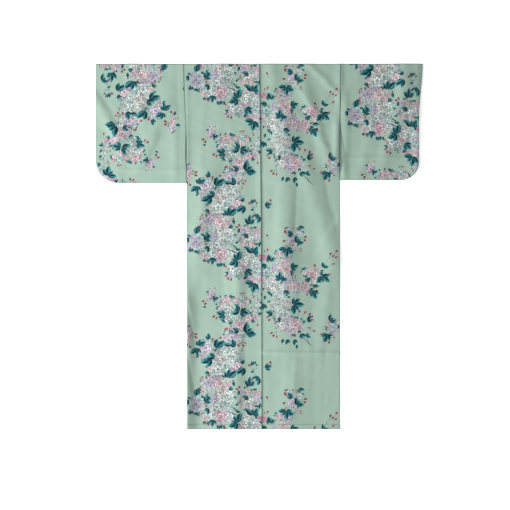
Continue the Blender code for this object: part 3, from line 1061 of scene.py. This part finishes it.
def paint_twig(nodes, place):
    """A short bare twig with knots."""
    u, v, _ = nodes.parts(place)
    bend = (u * 2.2).sine() * 0.10 + (u * 7).sine() * 0.03
    knots = abs((u * 9).sine()) ** 6 * 0.035
    width = (1 - abs(u)) * 0.05 + 0.025 + knots
    cover = (width - abs(v - bend)).mask(30) * (1 - abs(u)).mask(12)
    colour = nodes.ramp(u * 0.5 + 0.5, (0.0, 0.05, 0.03, 0.03), (1.0, 0.012, 0.016, 0.018))
    return cover, colour


def motif_group(name, paint):
    """A group of nodes that paints one kind of motif over a colour."""
    tree = bpy.data.node_groups.new(name, "ShaderNodeTree")
    sockets = (
        ("under", "INPUT", "NodeSocketColor"),
        ("place", "INPUT", "NodeSocketVector"),
        ("colour", "OUTPUT", "NodeSocketColor"),
    )
    for socket, way, kind in sockets:
        tree.interface.new_socket(socket, in_out=way, socket_type=kind)
    nodes = Nodes(tree)
    given = nodes.node("NodeGroupInput")
    cover, colour = paint(nodes, Value(nodes, given.outputs["place"]))
    painted = nodes.mix(cover, Value(nodes, given.outputs["under"]), colour)
    nodes.node("NodeGroupOutput", {}, {"colour": painted})
    return tree


def new_material(name, settings):
    """A material whose shader has these values, and a way to add nodes to it."""
    made = bpy.data.materials.new(name)
    made.use_nodes = True
    shader = made.node_tree.nodes["Principled BSDF"]
    for socket, value in settings.items():
        shader.inputs[socket].default_value = value
    return made.node_tree, shader


def stretched_noise(nodes, place, across, along, detail):
    """Noise drawn out along the warp or the weft."""
    scales = {0: place, 1: (across, along, 1.0)}
    scaled = nodes.value("ShaderNodeVectorMath", {"operation": "MULTIPLY"}, scales)
    sockets = {"Vector": scaled, "Scale": 1.0, "Detail": detail, "Roughness": 0.6}
    return nodes.value("ShaderNodeTexNoise", {"noise_dimensions": "2D"}, sockets)


def printed_cotton():
    """Matte plain-weave cotton, mint green with cherry blossom, with painted shade along its
    edges and seams.
    """
    tree, shader = new_material("printed cotton", COTTON_FINISH)
    nodes = Nodes(tree)
    bolt = nodes.on_corners("bolt")
    warp = stretched_noise(nodes, bolt, *WARP)
    weft = stretched_noise(nodes, bolt, *WEFT)
    cloudy = stretched_noise(nodes, bolt, *CLOUDS)
    colour = nodes.mix(cloudy, MINT_DEEP, MINT)
    groups = {
        "twigs": motif_group("twig", paint_twig),
        "buds": motif_group("buds", paint_buds),
        "blossoms": motif_group("blossom", paint_blossom),
        "leaves": motif_group("leaf fan", paint_leaves),
    }
    groups["tucked leaves"] = groups["leaves"]
    for kind, count in MOTIF_LAYERS.items():
        for number in range(count):
            place = nodes.on_corners(f"{kind} {number + 1}")
            sockets = {"under": colour, "place": place}
            colour = nodes.value("ShaderNodeGroup", {"node_tree": groups[kind]}, sockets)
    # Painted shade: the cloth is darkened within a few millimetres of every edge and seam, where
    # it turns over
    from_edge = nodes.parts(bolt)[2]
    painted_edge_shade = (1 - from_edge / EDGE_SHADE_WIDTH).mask()
    colour = nodes.mix(painted_edge_shade * EDGE_SHADE_STRENGTH, colour, MINT_EDGE_SHADE)
    threads = warp + weft
    slubs = ((threads - 1) * 0.5 + 0.5).mask()
    colour = nodes.mix(slubs * SLUB_TONE, colour, nodes.mix(0.5, colour, SLUB))
    bump = nodes.value("ShaderNodeBump", {}, WEAVE_BUMP | {"Height": threads})
    tree.links.new(colour.socket, shader.inputs["Base Color"])
    tree.links.new(bump.socket, shader.inputs["Normal"])


def thread(name, deep, pale):
    """Sewing thread with its twist, between two colours."""
    tree, shader = new_material(name, THREAD_FINISH)
    nodes = Nodes(tree)
    place = nodes.value("ShaderNodeTexCoord", {}, {}, "Object")
    sockets = {"Vector": place, "Scale": 900.0, "Detail": 2.0}
    noise = nodes.value("ShaderNodeTexNoise", {}, sockets)
    colour = nodes.mix(noise, deep, pale)
    tree.links.new(colour.socket, shader.inputs["Base Color"])


def body_length(sleeve):
    """One half of the back and the front of the same side, in one length of cloth."""
    side = sleeve["side"]
    above = spaced(UNDERARM_DEPTH, first=FINE_AT_FOLD)
    below = spaced(LENGTH - UNDERARM_DEPTH, last=FINE_AT_HEM, fine=SEAM_STEP) + UNDERARM_DEPTH
    depths = np.concatenate((above, below[1:]))[:, None]
    edge_x = side_x(sleeve, 0)
    lip = SEAM_LIP if side < 0 else 0.0
    shoulder = abs(seam_x(0) + side * NECK_OUT - edge_x)
    half_back = abs(seam_x(0) + lip - edge_x)
    front_columns = spaced(shoulder, first=FINE_AT_FOLD)
    past_neck = spaced(half_back - shoulder, last=FINE_AT_SEAM, fine=SEAM_STEP)[1:]
    back_columns = np.concatenate((front_columns, shoulder + past_neck)) / half_back
    front_columns = front_columns / shoulder

    outer_x = side_x(sleeve, depths) - side * CLOTH / 2
    back_inner = seam_x(depths) + lip
    front_inner = seam_x(depths) + side * np.maximum(neckline_out(depths), FRONT_OUT)
    inside = np.maximum(depths, CLOTH / 2)
    back_x = outer_x + back_columns * (back_inner - outer_x)
    front_x = outer_x + front_columns * (front_inner - outer_x)
    cloth = Cloth()
    back_height = back_z(sleeve, back_x, inside)
    back, back_places = cloth.layer(back_x, inside, back_height, back_x, depths)
    creases = fold_height(UNDER_FOLDS, front_x, depths)
    front_height = front_z(side, front_x, depths) + creases
    front, _ = cloth.layer(front_x, inside, front_height, front_x, -depths)
    columns = len(front_columns)
    cloth.edge(back[0, :columns], front[0], back_places[0, :columns])
    sewn = len(above) - 1
    cloth.edge(back[sewn:, 0], front[sewn:, 0], back_places[sewn:, 0])
    return cloth


def sleeve_outline(sleeve, depth):
    """The sleeve's outer edge, with its rounded lower corner."""
    corner = sleeve["corner"]
    narrowing = sleeve["reach_top"] - sleeve["reach_low"]
    reach = sleeve["reach_top"] - narrowing * smooth(depth, 0, WRIST_OPENING)
    into_corner = np.clip(depth - (sleeve["depth"] - corner), 0, corner)
    return reach - corner + np.sqrt(corner**2 - into_corner**2)


def sleeve_slit(sleeve, depth):
    """How far the upper layer's inner edge bows away from the body, below the armhole."""
    below = np.clip((depth - ARMHOLE_DEPTH) / (SLIT_END - ARMHOLE_DEPTH), 0, 1)
    return sleeve["slit_bow"] * np.sin(math.pi * below**1.3) ** 1.5


def sleeve_z(sleeve, x, depth):
    """The middle of the sleeve's upper layer."""
    out = sleeve["side"] * x
    corner = sleeve["corner"]
    inner = sleeve["side"] * side_x(sleeve, depth) + sleeve_slit(sleeve, depth)
    lift = resting(fold_height(SLEEVE_FOLDS, x, depth) + ripple(x, depth))
    band = smooth(out - inner, SLEEVE_BAND, SLEEVE_BAND - SLEEVE_BAND_EASE)
    lift += sleeve["band_height"] * band
    corner_out = sleeve["reach_low"] - corner
    corner_depth = sleeve["depth"] - corner
    past_corner = (np.maximum(out - corner_out, 0), np.maximum(depth - corner_depth, 0))
    from_round = corner - np.hypot(*past_corner)
    in_corner = (out > corner_out) & (depth > corner_depth)
    from_end = np.where(depth < WRIST_OPENING, 1.0, sleeve_outline(sleeve, depth) - out)
    from_sewn = np.where(depth < ARMHOLE_DEPTH, out - inner, 1.0)
    straight = np.minimum(np.minimum(from_end, sleeve["depth"] - depth), depth)
    edge = np.minimum(np.where(in_corner, from_round, straight), from_sewn)
    level = WALL / 2 + LAYER
    lower = REST + EDGE_THICKNESS
    return lower + (level + lift - lower) * rounded(edge)


def sleeve_bag(sleeve):
    """A sleeve: folded at the shoulder, sewn along the bottom and below the wrist opening."""
    side = sleeve["side"]
    corner = sleeve["corner"]
    corner_start = sleeve["depth"] - corner
    turns = np.linspace(0, math.pi / 2, CORNER_TURNS)[1:]
    beside_wrist = spaced(WRIST_OPENING, first=FINE_AT_FOLD)
    below_wrist = steps(WRIST_OPENING, corner_start, MESH_STEP)[1:]
    rounding = corner_start + corner * np.sin(turns)
    depths = np.concatenate((beside_wrist, below_wrist, rounding))[:, None]
    width = sleeve["reach_low"] - HALF_BACK
    columns = spaced(width, first=FINE_AT_SLEEVE, last=FINE_AT_SLEEVE) / width
    inside = np.clip(depths, CLOTH / 2, sleeve["depth"] - CLOTH / 2)
    end = side * (sleeve_outline(sleeve, depths) - CLOTH / 2)
    cloth = Cloth()
    lines = []
    for bow, turned in ((sleeve_slit(sleeve, depths), 1), (-SLEEVE_TUCK, -1)):
        start = side_x(sleeve, depths) + side * (SEAM_GAP + bow)
        x = start + columns * (end - start)
        if turned > 0:
            z = sleeve_z(sleeve, x, inside)
        else:
            z = REST + fold_height(UNDER_FOLDS, x, inside)
        bolt_x = side * (x - sleeve["bolt_x"])
        bolt_depth = side * (turned * depths - sleeve["bolt_depth"])
        lines.append(cloth.layer(x, inside, z, bolt_x, bolt_depth))
    (upper, places), (lower, _) = lines
    cloth.edge(upper[0], lower[0], places[0])
    first_sewn = len(beside_wrist) - 1
    around = [
        np.concatenate((grid[first_sewn:, -1], grid[-1, -2::-1]))
        for grid in (upper, lower, places)
    ]
    cloth.edge(*around)
    return cloth


def overlap(side, level):
    """The strip sewn to a front's inner edge, cut on a slant along the neckline."""
    sewn_out = FRONT_OUT - SEAM_GAP
    free_out = FRONT_OUT - OVERLAP_WIDTH
    tip = neckline_depth(sewn_out - SEAM_GAP)
    columns = spaced(OVERLAP_WIDTH, last=FINE_AT_OVERLAP, fine=SEAM_STEP) / OVERLAP_WIDTH
    bottom = np.full_like(columns, LENGTH)
    top_out = sewn_out + columns * (free_out - sewn_out)
    top = np.clip(neckline_depth(top_out - SEAM_GAP), tip, COLLAR_END_DEPTH + SEAM_GAP)
    shares = spaced(LENGTH - tip, last=FINE_AT_HEM, fine=SEAM_STEP)[:, None] / (LENGTH - tip)
    depth = top + shares * (bottom - top)
    out = top_out + 0 * depth
    x = seam_x(depth) + side * out
    hem = hem_rise(depth) + HEM_HEIGHT * smooth(columns * OVERLAP_WIDTH, *OVERLAP_HEM_STEP)
    cloth = Cloth()
    cloth.layer(x, depth, level + hem / 2, OVERLAP_ON_BOLT - out, depth)
    return cloth


def collar_band():
    """The collar: up one neckline, across the back of the neck and down the other."""
    low = WALL / 2
    high = low + LAYER
    corner_depth = COLLAR_NECK_WIDTH

    def section(side, depth):
        widening = COLLAR_END_WIDTH - COLLAR_NECK_WIDTH
        width = COLLAR_NECK_WIDTH + widening * smooth(depth, corner_depth, COLLAR_END_DEPTH)
        step_down = smooth(depth, *LEFT_COLLAR_STEP_DEPTHS) if side < 0 else 0.0
        z = high + (low - high) * step_down
        outs = (neckline_out(depth) - SEAM_GAP, neckline_out(depth) - width)
        return [(seam_x(depth) + side * out, depth, z) for out in outs]

    def mitre(side):
        neck_edge = (seam_x(0) + side * (NECK_OUT - SEAM_GAP), LAYER, high)
        return [neck_edge, section(side, corner_depth)[1]]

    depths = steps(COLLAR_END_DEPTH, corner_depth, MESH_STEP)
    left = [section(-1, depth) for depth in depths[:-1]]
    right = [section(1, depth) for depth in depths[:-1]]
    corners = [section(-1, corner_depth), mitre(-1), mitre(1), section(1, corner_depth)]
    between = []
    for first, second in zip(corners, corners[1:]):
        run = np.linspace(first, second, MITRE_STEPS)[:-1]
        between.extend(run.tolist())
    sections = np.array(left + between + [corners[-1]] + right[::-1])
    middles = sections.mean(axis=1)
    along = length_along(middles)
    across = np.linspace(0, 1, MITRE_STEPS)
    places = sections[:, :1] + across[None, :, None] * (sections[:, 1:] - sections[:, :1])
    x, depth, z = np.moveaxis(places, 2, 0)
    cloth = Cloth()
    cloth.layer(x, depth, z, COLLAR_ON_BOLT - across * COLLAR_END_WIDTH, along[:, None])
    return cloth


def stitches(name, runs, material, length, thickness):
    """Rows of stitches, from the middle and direction of each."""
    turns = np.arange(STITCH_RING) * 2 * math.pi / STITCH_RING
    points = []
    faces = []
    for middle, direction in runs:
        beside = np.array((-direction[1], direction[0], 0.0))
        first = len(points)
        for along, share in STITCH_SHAPE:
            radius = share * thickness / 2
            for turn in turns:
                offset = beside * math.cos(turn) + np.array((0, 0, math.sin(turn)))
                points.append(middle + direction * along * length + offset * radius)
        last = len(points) - STITCH_RING
        for start in range(first, last, STITCH_RING):
            for i in range(STITCH_RING):
                a = start + i
                b = start + (i + 1) % STITCH_RING
                faces.append((a, b, b + STITCH_RING, a + STITCH_RING))
        faces.append(tuple(range(first + STITCH_RING - 1, first - 1, -1)))
        faces.append(tuple(range(last, last + STITCH_RING)))
    mesh = bpy.data.meshes.new(name)
    mesh.from_pydata([tuple(point) for point in points], [], faces)
    mesh.shade_smooth()
    mesh.materials.append(bpy.data.materials[material])
    return in_scene(name, mesh)


def stitch_line(sleeve, x, depth, height):
    """Evenly spaced stitches along a line of places, on the cloth's surface."""
    z = height(sleeve, x, depth) + CLOTH / 2
    line = np.stack((x + MIDDLE_X, SHOULDER_Y - depth, z), -1)
    reach = length_along(line)
    runs = []
    for start in np.arange(STITCH_PITCH / 2, reach[-1] - STITCH_PITCH / 2, STITCH_PITCH):
        middle = np.array([np.interp(start, reach, line[:, i]) for i in range(3)])
        ahead = np.array([np.interp(start + STITCH_AHEAD, reach, line[:, i]) for i in range(3)])
        direction = (ahead - middle) / np.linalg.norm(ahead - middle)
        runs.append((middle, direction))
    return runs


def studio():
    """A plain pale floor, soft light from the left and above, and the camera."""
    floor_mesh = bpy.data.meshes.new("floor")
    sides = ((-1, -1), (1, -1), (1, 1), (-1, 1))
    corners = [(FLOOR_HALF * x, FLOOR_HALF * y, FLOOR_Z) for x, y in sides]
    floor_mesh.from_pydata(corners, [], [(0, 1, 2, 3)])
    new_material("pale floor", FLOOR_FINISH)
    floor_mesh.materials.append(bpy.data.materials["pale floor"])
    floor = in_scene("floor", floor_mesh)

    for name, place, size, power in LIGHTS:
        data = bpy.data.lights.new(name, "AREA")
        data.shape = "SQUARE"
        data.size = size
        data.energy = power
        light = in_scene(name, data)
        light.location = place
        towards = -np.array(place)
        yaw = math.atan2(towards[1], towards[0]) - math.pi / 2
        tilt = math.atan2(math.hypot(towards[0], towards[1]), -towards[2])
        light.rotation_euler = (tilt, 0, yaw)

    world = bpy.data.worlds.new("studio")
    world.use_nodes = True
    background = world.node_tree.nodes["Background"]
    background.inputs["Color"].default_value = WHITE
    background.inputs["Strength"].default_value = AMBIENT
    bpy.context.scene.world = world
    bpy.context.scene.view_settings.view_transform = "Standard"

    camera_data = bpy.data.cameras.new("camera")
    camera_data.lens = LENS
    camera_data.sensor_width = SENSOR
    camera = in_scene("camera", camera_data)
    camera.location = CAMERA_PLACE
    bpy.context.scene.camera = camera


def placed_on_root(piece):
    """Attaches a piece to the root body, so that nothing moves it."""
    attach(piece, "root")


printed_cotton()
thread("mint thread", *MINT_THREAD)
thread("green thread with painted shade", *GREEN_THREAD_AND_PAINTED_SHADE)
left_layers = in_layers(LEFT_CHART)
right_layers = in_layers(RIGHT_CHART)
left, right = SLEEVES["left"], SLEEVES["right"]

for node, cloth, layers, thickness, flat, area in (
    ("body_left", body_length(left), left_layers, CLOTH, (0.33, 3.008), 0.838),
    ("body_right", body_length(right), right_layers, CLOTH, (0.33, 3.008), 0.888),
    ("sleeve_left", sleeve_bag(left), left_layers, CLOTH, (0.375, 0.98), 0.362),
    ("sleeve_right", sleeve_bag(right), left_layers, CLOTH, (0.342, 0.956), 0.315),
    ("overlap_left", overlap(-1, REST), right_layers, CLOTH, (0.150, 1.29), 0.128),
    ("overlap_right", overlap(1, REST + LAYER), right_layers, CLOTH, (0.150, 1.29), 0.128),
    ("collar", collar_band(), right_layers, WALL, (0.075, 1.75), 0.109),
):
    piece = cloth.as_piece(f"{node}_cloth", layers, thickness)
    placed_on_root(piece)
    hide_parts(node)

hem_runs = []
sleeve_runs = []
for sleeve in (left, right):
    side = sleeve["side"]
    start, end = HEM_STITCH_RUN
    x = np.linspace(side * start, side * end, HEM_POINTS)
    depth = np.full_like(x, LENGTH - HEM - HEM_STITCH_RISE)
    hem_runs += stitch_line(sleeve, x, depth, back_z)
    depth = np.linspace(SLEEVE_STITCH_INSET, WRIST_OPENING, SLEEVE_POINTS)
    x = side * (sleeve_outline(sleeve, depth) - WRIST_HEM)
    sleeve_runs += stitch_line(sleeve, x, depth, sleeve_z)
    depth = np.linspace(ARMHOLE_DEPTH, sleeve["depth"] - SLEEVE_STITCH_INSET, SLEEVE_POINTS)
    x = side_x(sleeve, depth) + side * (sleeve_slit(sleeve, depth) + SLIT_HEM)
    sleeve_runs += stitch_line(sleeve, x, depth, sleeve_z)
# The hem's stitches use the darker thread, whose colour is partly painted shade along the
# stitched line
hem_stitches = stitches("hem_stitches", hem_runs, "green thread with painted shade", **HEM_STITCH)
placed_on_root(hem_stitches)
sleeve_stitches = stitches("sleeve_hem_stitches", sleeve_runs, "mint thread", **SLEEVE_STITCH)
placed_on_root(sleeve_stitches)

studio()
